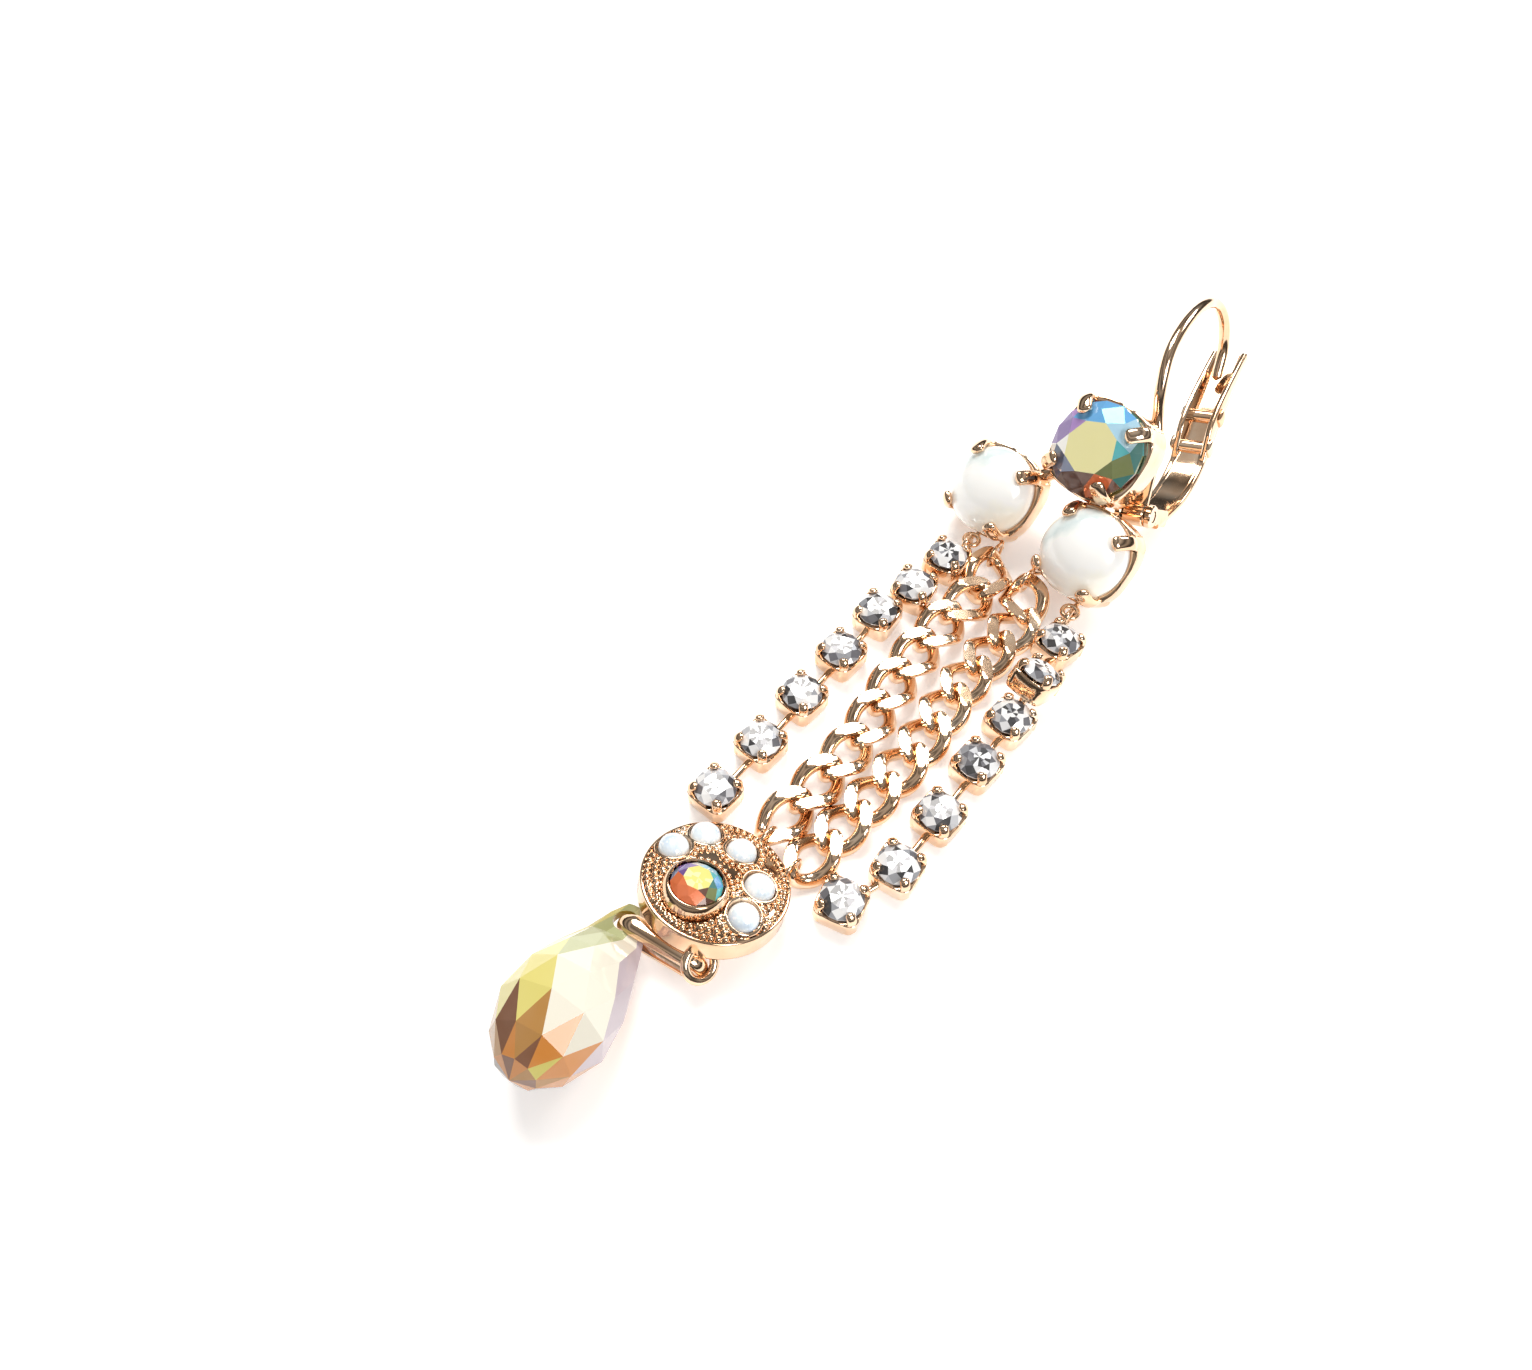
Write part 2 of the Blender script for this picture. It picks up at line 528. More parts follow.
class Finish:
    """A material, made node by node."""

    def __init__(self, name, **sockets):
        self.material = bpy.data.materials.new(name)
        self.material.use_nodes = True
        self.tree = self.material.node_tree
        self.shader = self.tree.nodes["Principled BSDF"]
        for socket, value in sockets.items():
            self.shader.inputs[socket.replace("_", " ").title()].default_value = value

    def node(self, kind, inputs=None, output=0, **settings):
        """A node of any kind with its settings and inputs; returns one of its outputs."""
        made = self.tree.nodes.new(kind)
        for key, value in settings.items():
            setattr(made, key, value)
        for key, value in (inputs or {}).items():
            if isinstance(value, Value):
                self.tree.links.new(value.socket, made.inputs[key])
            else:
                made.inputs[key].default_value = value
        return Value(self, made.outputs[output])

    def place(self):
        """The point in the piece's own frame."""
        return self.node("ShaderNodeTexCoord", output="Object")

    def noise(self, scale, detail=3.0, roughness=0.5, output="Fac"):
        """Clouds whose lumps are about 1 / scale metres."""
        inputs = {"Vector": self.place(), "Scale": scale, "Detail": detail, "Roughness": roughness}
        return self.node("ShaderNodeTexNoise", inputs, output=output)

    def cells(self, scale, output="Distance"):
        """The distance to scattered points, about 1 / scale metres apart."""
        inputs = {"Vector": self.place(), "Scale": scale}
        return self.node("ShaderNodeTexVoronoi", inputs, output=output)

    def attribute(self, name):
        """A number kept on the mesh."""
        return self.node("ShaderNodeAttribute", output="Fac", attribute_name=name)

    def ramp(self, value, stops, interpolation="LINEAR"):
        """Colours at places from 0 to 1: stops are (place, colour)."""
        made = self.node("ShaderNodeValToRGB", {"Fac": value}, output="Color")
        ramp = made.socket.node.color_ramp
        ramp.interpolation = interpolation
        while len(ramp.elements) < len(stops):
            ramp.elements.new(1.0)
        for element, (at, colour) in zip(ramp.elements, stops):
            element.position, element.color = at, (*colour, 1)
        return made

    def palette(self, colours):
        """The facet's own colour from a list."""
        stops = [(i / len(colours), colour) for i, colour in enumerate(colours)]
        return self.ramp(self.attribute("facet"), stops, "CONSTANT")

    def mix(self, factor, first, second, blend="MIX"):
        """Two colours blended."""
        values = {"Factor": factor, 6: first, 7: second}
        for key in (6, 7):
            if not isinstance(values[key], Value):
                values[key] = (*values[key], 1)
        return self.node("ShaderNodeMix", values, output=2, data_type="RGBA", blend_type=blend)

    def bump(self, height, strength, distance):
        """A normal from a height in metres times the distance."""
        inputs = {"Height": height, "Strength": strength, "Distance": distance}
        return self.node("ShaderNodeBump", inputs, output="Normal")

    def feed(self, **values):
        """Links values to the shader's sockets."""
        for socket, value in values.items():
            self.tree.links.new(value.socket, self.shader.inputs[socket.replace("_", " ").title()])
        return self.material


def gold_finish(colours):
    """Polished rose gold: soft warm clouds in the alloy, a faint polish grain."""
    base = np.array(colours.gold)
    finish = Finish("polished rose gold", metallic=1.0, roughness=0.09)
    clouds = finish.noise(420, 3)
    colour = finish.ramp(clouds, [(0.3, base * (0.86, 0.78, 0.70)), (0.55, base),
                                  (0.75, np.clip(base * (1.05, 1.2, 1.35), 0, 1))])
    colour = finish.mix(finish.attribute("crevice") * 0.5, colour, (0.09, 0.045, 0.02))
    roughness = finish.noise(900, 2) * 0.12 + 0.04
    return finish.feed(base_color=colour, roughness=roughness,
                       normal=finish.bump(finish.noise(1500, 3), 0.05, 0.00002))


def facet_finish(name, colours, *, metallic, roughness, grain=0.07, scale=900, **sockets):
    """A cut stone: one colour a facet, clouded a little within it, under a clear polish."""
    finish = Finish(name, metallic=metallic, coat_weight=0.25, coat_roughness=0.02, **sockets)
    colour = finish.palette(colours)
    clouds = finish.noise(scale, 2)
    shaded = finish.mix(clouds * (2 * grain), colour, finish.mix(0.6, colour, (0.99, 0.97, 0.94)))
    return finish.feed(base_color=shaded, roughness=clouds * 0.1 + roughness)


def shell_finish(colours):
    """Mother of pearl: white with blue-grey and cream clouds in bands, glossy and a little deep."""
    finish = Finish("mother of pearl", coat_weight=1.0, coat_roughness=0.03, subsurface_weight=0.25,
                    emission_strength=0.16, emission_color=(0.96, 0.98, 0.96, 1))
    finish.shader.inputs["Subsurface Radius"].default_value = (0.0012, 0.0011, 0.0010)
    clouds = finish.noise(260, 4, 0.55)
    fine = finish.noise(1400, 3)
    shell = np.array(colours.shell)
    band = finish.attribute("band") + clouds * 0.5 + fine * 0.1 - 0.3
    colour = finish.ramp(band, [
        (0.06, shell * (1.0, 0.95, 0.84)), (0.3, np.minimum(shell * 1.04, 1)),
        (0.66, np.minimum(shell * 1.05, 1)),
        (0.82, shell * (0.66, 0.77, 0.80)), (0.95, shell * (0.84, 0.93, 0.96))])
    return finish.feed(base_color=colour, roughness=fine * 0.15 + 0.12)


def opal_finish(colours):
    """Milky opal: pale blue clouds with white sparks in it."""
    finish = Finish("milky opal", coat_weight=1.0, coat_roughness=0.03, subsurface_weight=0.2,
                    emission_strength=0.12, emission_color=(0.9, 0.96, 1, 1))
    finish.shader.inputs["Subsurface Radius"].default_value = (0.0006, 0.0006, 0.0007)
    opal = np.array(colours.opal)
    milk = finish.ramp(finish.noise(900, 3), [
        (0.32, opal * (0.75, 0.82, 0.95)), (0.5, opal), (0.68, np.clip(opal * 1.35, 0, 1))])
    sparks = finish.ramp(finish.cells(2600), [
        (0.0, (1, 1, 1)), (0.16, (0.7, 0.7, 0.7)), (0.3, (0, 0, 0))])
    colour = finish.mix(1.0, milk, sparks, "SCREEN")
    return finish.feed(base_color=colour, roughness=finish.noise(2000, 2) * 0.2 + 0.08)


# ---------------------------------------------------------------- stones


def brilliant(radius, rise, depth, girdle, table=0.56, eye=0.26):
    """An eight-fold brilliant seated at z = 0, as points and faces.

    Table corners stand on the even of 16 directions, the star facets' points on the odd ones. A
    star point lies on the plane of the kites beside it, so that the kites are flat. The table is
    divided by an inner ring, which shows the facets that are seen through it.
    """
    step = np.arange(16) * math.pi / 8
    even = np.arange(0, 16, 2)
    odd = even + 1

    def ring_of(radii, height):
        """Sixteen points at one height."""
        return np.stack([radii * np.cos(step), radii * np.sin(step), np.full(16, height)], -1)

    top = girdle + rise
    edge = table * radius * np.where(np.arange(16) % 2, math.cos(math.pi / 8), 1)
    star = 0.8 * radius
    fall = (star * math.cos(math.pi / 8) - table * radius) / (radius - table * radius)
    rings = [ring_of(np.full(16, eye * radius), top), ring_of(edge, top),
             ring_of(np.full(16, star), top - rise * fall), ring_of(np.full(16, radius), girdle),
             ring_of(np.full(16, radius), -girdle)]
    points = np.vstack(rings + [[[0, 0, top], [0, 0, -depth]]])
    eyes, rim, stars, up, low = (np.arange(16) + 16 * k for k in range(5))
    following = lambda ids: np.roll(ids, -1)
    centre, tip = np.full(16, 80), np.full(16, 81)
    nxt_even = np.roll(even, -1)
    faces = [
        np.stack([centre, eyes, following(eyes)], -1),
        np.stack([eyes, rim, following(rim), following(eyes)], -1),
        np.stack([rim[even], stars[odd], rim[nxt_even], rim[odd]], -1),
        np.stack([rim[even], stars[np.roll(odd, 1)], up[even], stars[odd]], -1),
        np.stack([stars[odd], up[odd], up[nxt_even]], -1),
        np.stack([stars[odd], up[even], up[odd]], -1),
        np.stack([up, low, following(low), following(up)], -1),
        np.stack([low, tip, following(low)], -1),
    ]
    # The points kept on the odd table corners lie on the star facets' straight edges.
    used = np.unique(np.concatenate([f.ravel() for f in faces]))
    renumber = np.full(len(points), -1)
    renumber[used] = np.arange(len(used))
    return points[used], [renumber[f] for f in faces]


def group_sizes(part):
    """How many faces each of the stone's groups has."""
    return [len(group) for group in part[1]]


def angles_of(part):
    """The direction of each face's middle about the stone's axis, 0 to 1."""
    points, faces = part
    middles = np.vstack([points[g].mean(1) for g in faces])
    return (np.arctan2(middles[:, 1], middles[:, 0]) / (2 * math.pi)) % 1


def tone(indices, count):
    """Places in the middles of a palette's steps."""
    return (np.asarray(indices) + 0.5) / count


def aurora_tones(part, wheel, table, seed):
    """Table facets from one list, the others from a wheel of colours round the stone."""
    names = list(AURORA)
    random = np.random.default_rng(seed)
    sizes = group_sizes(part)
    angle = angles_of(part)
    jitter = random.uniform(-0.06, 0.06, len(angle))
    at = np.floor(((angle + jitter) % 1) * len(wheel)).astype(int) % len(wheel)
    indices = np.array([names.index(n) for n in wheel])[at]
    inner = sizes[0] + sizes[1]
    indices[:inner] = random.choice([names.index(n) for n in table], inner)
    return tone(indices, len(names))


def clear_tones(part, seed):
    """Light and dark facets in turn, the order mixed by a fixed seed."""
    random = np.random.default_rng(seed)
    sizes = group_sizes(part)
    chosen = [
        random.choice(6, sizes[0], p=[0.22, 0.12, 0.06, 0.08, 0.17, 0.35]),
        random.choice(6, sizes[1], p=[0.32, 0.12, 0.06, 0.06, 0.14, 0.30]),
        random.choice(6, sizes[2], p=[0.18, 0.15, 0.12, 0.1, 0.2, 0.25]),
        random.choice(6, sizes[3], p=[0.14, 0.16, 0.15, 0.15, 0.2, 0.2]),
    ]
    rest = sum(sizes) - sum(map(len, chosen))
    chosen.append(random.choice(6, rest, p=[0.1, 0.2, 0.25, 0.2, 0.15, 0.1]))
    return tone(np.concatenate(chosen), 6)


def dome(radius, height, edge, sides=64, steps=18):
    """A cabochon, flat back at z = 0: a short upright edge, then z = edge + (h - edge) sin a."""
    a = np.linspace(0, math.pi / 2, steps + 1)[:-1]
    upper = np.stack([radius * np.cos(a), edge + (height - edge) * np.sin(a)], -1)
    profile = [(0.9 * radius, 0), (radius - 0.06, 0), (radius, 0.08), *upper.tolist()]
    part = turned(profile, sides)
    points = part[0]
    points[-1] = 0, 0, height
    return points, part[1]


# ---------------------------------------------------------------- metal parts


def claw(radius, base, rise, sweep, low, foot, half_width, half_thick, steps=26):
    """A prong on the x axis: up from its foot on the wall, then over the stone's edge along the
    ellipse x = radius cos a, z = base + rise sin a, moved out by its half thickness. It is widest
    at its foot and ends in a round tip."""
    a = np.radians(np.linspace(4, sweep, steps))
    edge = np.stack([radius * np.cos(a), base + rise * np.sin(a)], -1)
    normal = unit(np.stack([rise * np.cos(a) + 1e-6, radius * np.sin(a)], -1))
    path = edge + normal * (half_thick + 0.02)
    places = [(foot, low), (foot, 0.5 * (low + base)), (foot - 0.04, base - 0.25)]
    path = smooth_line([*places, *path[:-3:5], path[-1]], steps + 12)
    share = np.linspace(0, 1, len(path))
    line = np.stack([path[:, 0], np.zeros(len(path)), path[:, 1]], -1)
    return tube(line, (0, 1, 0), half_width * (1.25 - 0.3 * np.clip(share / 0.6, 0, 1)),
                half_thick * (1.1 - 0.1 * share), sides=16, power=2.5)


def head_setting(at, diameter, depth, rise, base, top, taper, sweep):
    """A squared basket under the stone, its lip below the girdle, and its four prongs."""
    wall = diameter / 2 + 0.10
    foot = taper * wall
    profile = [
        (0.88 * foot, -depth, 1, 0), (0.98 * foot, 0.1 - depth, 1, 0), (foot, 0.3 - depth, 1, 0),
        (foot + 0.02, -0.86 * depth, 1, 0), (0.97 * wall, -0.74 * depth, 1, 0),
        (0.985 * wall, -0.66 * depth, 1, 0), (wall, top - 0.5, 1, 0), (wall, top - 0.16, 1, 0.6),
        (wall - 0.03, top - 0.05, 1, 1), (wall - 0.1, top, 0.95, 1), (wall - 0.28, top, 0.6, 1),
        (wall - 0.37, top - 0.06, 0.2, 1), (wall - 0.40, top - 0.5, 0, 0.1),
        (wall - 0.9, top - 1.0, 0, 0), (0.55 * wall, 0.6 - depth, 0, 0),
    ]
    basket = turned(profile, 80, square=1.0, dip=0.3)
    prong = claw(diameter / 2, base, rise, sweep, -0.6 * depth, wall * 1.1 - 0.16, 0.56, 0.31)
    return [moved(p, HEAD @ shift(*at)) for p in [basket, *corners(prong)]]


def cup_parts(radius, height):
    """A rhinestone's cup: a boxy wall below the girdle, and four stout corner prongs."""
    wall = radius + 0.10
    top = height - 0.12
    profile = [
        (0.84 * wall, 0, 1, 0), (0.92 * wall, 0.06, 1, 0), (0.95 * wall, 0.2, 1, 0),
        (0.985 * wall, 0.6 * top, 1, 0),
        (wall, top - 0.2, 1, 0.2), (wall - 0.02, top - 0.06, 1, 1), (wall - 0.08, top, 0.95, 1),
        (wall - 0.2, top, 0.5, 1), (wall - 0.25, top - 0.06, 0.1, 1), (wall - 0.3, 0.6 * height, 0, 0),
        (0.45 * wall, 0.5, 0, 0),
    ]
    cup = turned(profile, 56, square=1.0, dip=0.1, power=5)
    prong = claw(radius, CUP_SEAT + 0.03, 0.42, 40, 0.3 * height, wall * 1.23 - 0.22, 0.33, 0.19,
                 steps=16)
    return [cup, *corners(prong)]


def strand(places, ring_at, sizes):
    """Seven cups, the waisted bars between their floors, and the ring at the top."""
    radius = sizes.rhinestone_diameter / 2
    one = cup_parts(radius, sizes.cup_height)
    frames = [cup_frame(place) for place in places]
    middles = [put([0, 0, BAR_HEIGHT], f) for f in frames]
    parts = [moved(p, f) for f in frames for p in one]
    parts += [rod(a, b, BAR_RADIUS, 9, BAR_WAIST) for a, b in zip(middles, middles[1:])]
    eye = ring_at - np.array([0, RING_RADIUS, 0])
    parts.append(rod(middles[0], eye, 0.26))
    parts.append(torus(ring_at, (1, 0, 0), RING_RADIUS, RING_WIRE))
    return parts


def curb_link(hand, pitch, width, wire, thickness):
    """An elliptical ring of wire, twisted about its length and pressed between two flat plates.

    A point at y along the link is turned by hand * LINK_TWIST * y / length about the y axis, then
    its height is held to half the thickness.
    """
    tube_radius = wire / 2
    half_width = width / 2 - tube_radius
    half_length = pitch / 2 + 0.9 * tube_radius
    a = (np.arange(56) * 2 * math.pi / 56 + math.pi / 56)[:, None]
    b = (np.arange(22) * 2 * math.pi / 22)[None]
    out = unit(np.stack([half_length * np.cos(a), half_width * np.sin(a)], -1))
    x = half_width * np.cos(a) + tube_radius * np.cos(b) * out[..., 0]
    along = half_length * np.sin(a) + tube_radius * np.cos(b) * out[..., 1]
    z = np.broadcast_to(tube_radius * np.sin(b), x.shape)
    angle = hand * math.radians(LINK_TWIST) * along / (2 * half_length)
    c, s = np.cos(angle), np.sin(angle)
    height = np.clip(x * s + z * c, -thickness / 2, thickness / 2)
    return loft(np.stack([x * c - z * s, along, height], -1), ring=True)


def curb_strand(start, route, end, hand, sizes):
    """Links of the curb chain at even steps along the route, each along the route's direction."""
    half = sizes.chain_thickness / 2
    first, last = start + [0, -0.4, 0], end + [hand * 0.2, 0.4, 0]
    first[2] = last[2] = half + CHAIN_LIFT
    middle = put([(x + hand * CHAIN_SPREAD, y, half + CHAIN_LIFT) for x, y in route], MODEL)
    line = smooth_line(np.vstack([first, middle, last]), 600)
    length = np.linalg.norm(np.diff(line, axis=0), axis=1).sum()
    count = round(length / sizes.link_pitch)
    share = (np.arange(count) + 0.5) / count
    at = np.clip((share * 599).round().astype(int), 1, 598)
    along = unit(line[at - 1] - line[at + 1])
    side = unit(np.cross(along, [0, 0, 1.0]))
    up = np.cross(side, along)
    parts = []
    for k in range(count):
        width = LINK_WIDTH + (LINK_WIDTH_LAST - LINK_WIDTH) * share[k]
        link = curb_link(hand, length / count, width, sizes.link_wire, 2 * half)
        matrix = np.eye(4)
        matrix[:3] = np.stack([side[k], along[k], up[k], line[at[k]]], -1)
        parts.append(moved(link, matrix))
    return parts


# ---------------------------------------------------------------- places of the rings and eyes

CHAIN_RING, CHAIN_WIRE = 0.92, 0.13
LEFT_EYE = put((LEFT_CAB[0] + 0.6, -4.0, -0.45), HEAD)
RIGHT_EYE = put((RIGHT_CAB[0] + 1.5, -4.0, -0.45), HEAD)
CHAIN_EYES = [put((x, -3.85, -0.45), HEAD) * (1, 1, 0) + (0, 0, 1.1) for x in (-1.5, 1.75)]
EYE_ROOTS = [put(at, HEAD) for at in [
    (-3.8, -3.1, -1.4), (5.8, -3.1, -1.4), (-2.1, -2.9, -1.5), (2.2, -2.9, -1.5)]]


def disc_loop(x):
    """The middle of the chain's ring at the disc's edge, 1.1 over the table."""
    y = math.sqrt((DISC_RADIUS + 0.45)**2 - x**2)
    fall = (DISC_RADIUS - y * math.cos(math.radians(DISC_TURN))) * math.sin(math.radians(DISC_TILT))
    return put((x, y, (1.1 - fall) / math.cos(math.radians(DISC_TILT))), DISC)


DISC_LOOPS = [disc_loop(x) for x in (-0.5, 2.25)]


def strand_ring(places, eye):
    """The middle of a strand's top ring, which hangs in the head's eye."""
    first = put((places[0][0], places[0][1], 0), MODEL)
    first[2] = eye[2]
    return eye + unit(first - eye) * 0.59


# ---------------------------------------------------------------- builders


def build_cluster(sizes, gold):
    """The three settings, their solder, the eyes, and the ear wire with its barrel."""
    parts = []
    for at in (LEFT_CAB, RIGHT_CAB):
        parts += head_setting(at, sizes.cabochon_diameter, *CAB_SETTING)
    parts += head_setting(CROWN, sizes.crown_diameter, *CROWN_SETTING)
    for cab in (LEFT_CAB, RIGHT_CAB):
        reach = unit(np.subtract(CROWN, cab)) * (sizes.cabochon_diameter / 2 - 0.3)
        ends = [put(at + (0, 0, -SOLDER_DEPTH), HEAD) for at in (cab + reach, CROWN - reach)]
        parts.append(rod(*ends, SOLDER_RADIUS))
    radii = (RING_RADIUS, RING_RADIUS, CHAIN_RING, CHAIN_RING)
    for eye, root, radius in zip([LEFT_EYE, RIGHT_EYE, *CHAIN_EYES], EYE_ROOTS, radii):
        parts.append(rod(eye + (0, radius, 0), root, 0.2))
    parts += [torus(eye, (0, 0, 1), RING_RADIUS, RING_WIRE) for eye in (LEFT_EYE, RIGHT_EYE)]
    parts += [torus(eye, (1, 0, 0), CHAIN_RING, CHAIN_WIRE) for eye in CHAIN_EYES]

    # The wire: a flat strip from the barrel that draws out into round wire
    wire = [(0, 0), (2.5, 0), (5.0, 0), (7.0, -0.35)]
    wire += [(u * WIRE_HEIGHT, b * LOOP_DEPTH) for u, b in WIRE_LINE]
    line = smooth_line([(u, b, 0) for u, b in wire], 110)
    rounding = np.clip((line[:, 0] - 4.6) / 2.6, 0, 1)
    rounding[len(line) // 2:] = 1
    rounding = rounding**2 * (3 - 2 * rounding)
    half = sizes.wire_diameter / 2
    hook = tube(line, (0, 0, 1), 0.75 + (half - 0.75) * rounding, 0.35 + (half - 0.35) * rounding,
                sides=20, power=5 - 3 * rounding)
    barrel = hollow([(HINGE_BORE, -0.7), (0.5, -0.75), (0.78, -0.75), (HINGE_RADIUS, -0.68),
                     (HINGE_RADIUS, 0.68), (0.78, 0.75), (0.5, 0.75), (HINGE_BORE, 0.7)], 40)
    bore = turned([(HINGE_BORE, -1.2), (HINGE_BORE, 1.2)], 40)
    return make_piece("cluster", [*parts, moved(hook, LOOP), moved(barrel, LOOP)], gold,
                      cut=[moved(bore, LOOP)])


def lever_frames(shares):
    """Places, inward and along directions of the lever's floor at shares of its length."""
    line = smooth_line([(u * WIRE_HEIGHT, b * LOOP_DEPTH, 0) for u, b in LEVER_LINE], 400)
    along = unit(np.gradient(line, axis=0))
    at = (np.asarray(shares) * 399).round().astype(int)
    inward = np.stack([along[:, 1], -along[:, 0], np.zeros(400)], -1)
    return line[at], inward[at], along[at]


def lever_wall(share):
    """The walls' height: they rise at SCOOP_START and sink to round lobes at the lever's end."""
    part = (share - SCOOP_START) / (1 - SCOOP_START)
    ease = np.clip((part + 0.2) / 0.45, 0, 1)
    return 1.5 * np.sin(np.pi * np.clip(0.5 + part * 0.42, 0, 1)) ** 0.7 * ease**2 * (3 - 2 * ease)


def build_lever(gold):
    """The lever: a curved floor whose sides rise to a scoop, two bands round it and two ears."""
    half, width, wall = 0.225, 1.37, 0.45
    shares = np.linspace(0, 1, 70)
    line, inward, _ = lever_frames(shares)
    height = np.maximum(lever_wall(shares), half + 0.02)
    across = np.array([0, 0, 1.0])
    ones = np.ones(len(shares))

    def chain(columns):
        """Points of a section from its (across, inward) columns."""
        z = np.stack([c[0] * ones for c in columns], 1)
        n = np.stack([c[1] * ones for c in columns], 1)
        return line[:, None] + inward[:, None] * n[..., None] + across * z[..., None]

    side = [(width - 0.1, height), (width - 0.03, height - 0.05), (width, height - 0.14),
            (width, 0.4 * height), (width, -half + 0.14), (width - 0.05, -half + 0.04),
            (width - 0.15, -half)]
    below = [(0.5 * -width, -half), (0, -half - 0.03), (0.5 * width, -half)]
    outer = chain([(-z, n) for z, n in side] + below + side[::-1])
    inner_wall = width - wall
    step = [(width - 0.2, height), (width - wall + 0.1, height - 0.02),
            (inner_wall, height - 0.1 * (height > 0.4)), (inner_wall, half + 0.3 * (height - half)),
            (inner_wall - 0.03, half + 0.1 * (height - half)),
            (inner_wall - 0.1, half + 0.01 * (height - half)), (inner_wall - 0.25, half)]
    above = [(0.3 * -width, half), (0, half), (0.3 * width, half)]
    inner = chain([(-z, n) for z, n in step] + above + step[::-1])
    parts = [sheet(outer, inner)]

    for share in BAND_SHARES:
        (at,), (into,), (along,) = lever_frames([share])
        u_path = [(-1.43, 1.0), (-1.43, 0.2), (-1.3, -0.26), (-0.9, -0.33), (0, -0.33), (0.9, -0.33),
                  (1.3, -0.26), (1.43, 0.2), (1.43, 1.0)]
        path = smooth_line(u_path, 44)
        band = at + into * path[:, 1:] + across * path[:, :1]
        parts.append(tube(band, along, 0.55, 0.21, sides=16, power=2.4, ends=(True, True)))
        rib = at + into * 0.3 + across * np.linspace(-1.4, 1.4, 24)[:, None]
        parts.append(tube(rib, along, 0.5, 0.32, sides=16, power=2.4, ends=(False, False)))

    (foot,), _, _ = lever_frames([0.09])
    for z in (-EAR_OFFSET, EAR_OFFSET):
        ear = turned([(0.4, -0.25), (0.77, -0.25), (HINGE_RADIUS, -0.17), (HINGE_RADIUS, 0.17),
                      (0.77, 0.25), (0.4, 0.25)], 40)
        parts.append(moved(ear, shift(0, 0, z)))
        share = np.linspace(0, 1, 8)[:, None]
        neck = np.array([0, 0, z]) + foot * share
        parts.append(tube(neck, (0, 0, 1), 0.25, 0.62, sides=16, power=5, ends=(False, False)))
    bore = turned([(HINGE_BORE, -2.5), (HINGE_BORE, 2.5)], 36)
    return make_piece("lever", [moved(p, LOOP) for p in parts], gold, body="lever",
                      cut=[moved(bore, LOOP)])


def build_head_stones(sizes, looks):
    """The crown's brilliant and the two domes."""
    crown = brilliant(sizes.crown_diameter / 2, 1.1, 2.6, 0.02 * sizes.crown_diameter)
    wheel = ["teal", "aqua", "pale_blue", "aqua", "sky", "sky", "lilac", "pink", "violet", "white",
             "slate", "pink", "brown", "rust", "brown", "olive"]
    tones = aurora_tones(crown, wheel, ["straw"], 5)
    stone = moved(crown, HEAD @ shift(*CROWN))
    flat_stone("top_crystal", stone, tones, looks["aurora"], slot="ab_crystal")
    for name, at in (("left_cabochon", LEFT_CAB), ("right_cabochon", RIGHT_CAB)):
        shape = dome(sizes.cabochon_diameter / 2, sizes.cabochon_dome, 0.39)
        place = HEAD @ shift(at[0], at[1], STONE_GAP - 0.6)
        obj = make_piece(name, [moved(shape, place)], looks["shell"], sharp=60)
        band = 0.5 + 0.5 * shape[0] @ (-0.755, 0.656, 0) / (sizes.cabochon_diameter / 2)
        keep_values(obj, "band", "POINT", band)


def build_strands(sizes, looks):
    """Both rhinestone strands with their stones."""
    radius = sizes.rhinestone_diameter / 2
    cut = brilliant(radius, 0.42, CUP_SEAT - 0.5 - STONE_GAP - 0.35, 0.02 * sizes.rhinestone_diameter)
    for side, places, eye in (("left", LEFT_CUPS, LEFT_EYE), ("right", RIGHT_CUPS, RIGHT_EYE)):
        make_piece(f"{side}_strand", strand(places, strand_ring(places, eye), sizes), looks["gold"])
        for k, place in enumerate(places):
            spin = turn("z", 22.5 * ((k * 3) % 4) / 4)
            stone = moved(cut, cup_frame(place) @ shift(0, 0, CUP_SEAT) @ spin)
            tones = clear_tones(cut, 11 * k + (3 if side == "left" else 7))
            flat_stone(f"{side}_rhinestone_{k + 1}", stone, tones, looks["clear"], slot="clear_crystal")


def build_chains(sizes, gold):
    """The two strands of curb chain, opposite in hand."""
    for name, eye, route, loop, hand in (("left_chain", CHAIN_EYES[0], LEFT_ROUTE, DISC_LOOPS[0], -1),
                                         ("right_chain", CHAIN_EYES[1], RIGHT_ROUTE, DISC_LOOPS[1], 1)):
        make_piece(name, curb_strand(eye, route, loop, hand, sizes), gold, sharp=24)


def dome_height(radius):
    """The disc's height at a radius: 1.6 at its edge, 0.9 more at its middle, as a parabola."""
    return 1.6 + 0.9 * (1 - (radius / DISC_RADIUS) ** 2)


def bead_row(radius, start, stop, centre=(0, 0), pitch=MILGRAIN_PITCH):
    """Bead middles at even steps along an arc, in degrees."""
    count = max(int(math.radians(stop - start) * radius / pitch), 1)
    angle = np.radians(np.linspace(start, stop, count + 1))
    return np.stack([centre[0] + radius * np.cos(angle), centre[1] + radius * np.sin(angle)], -1)


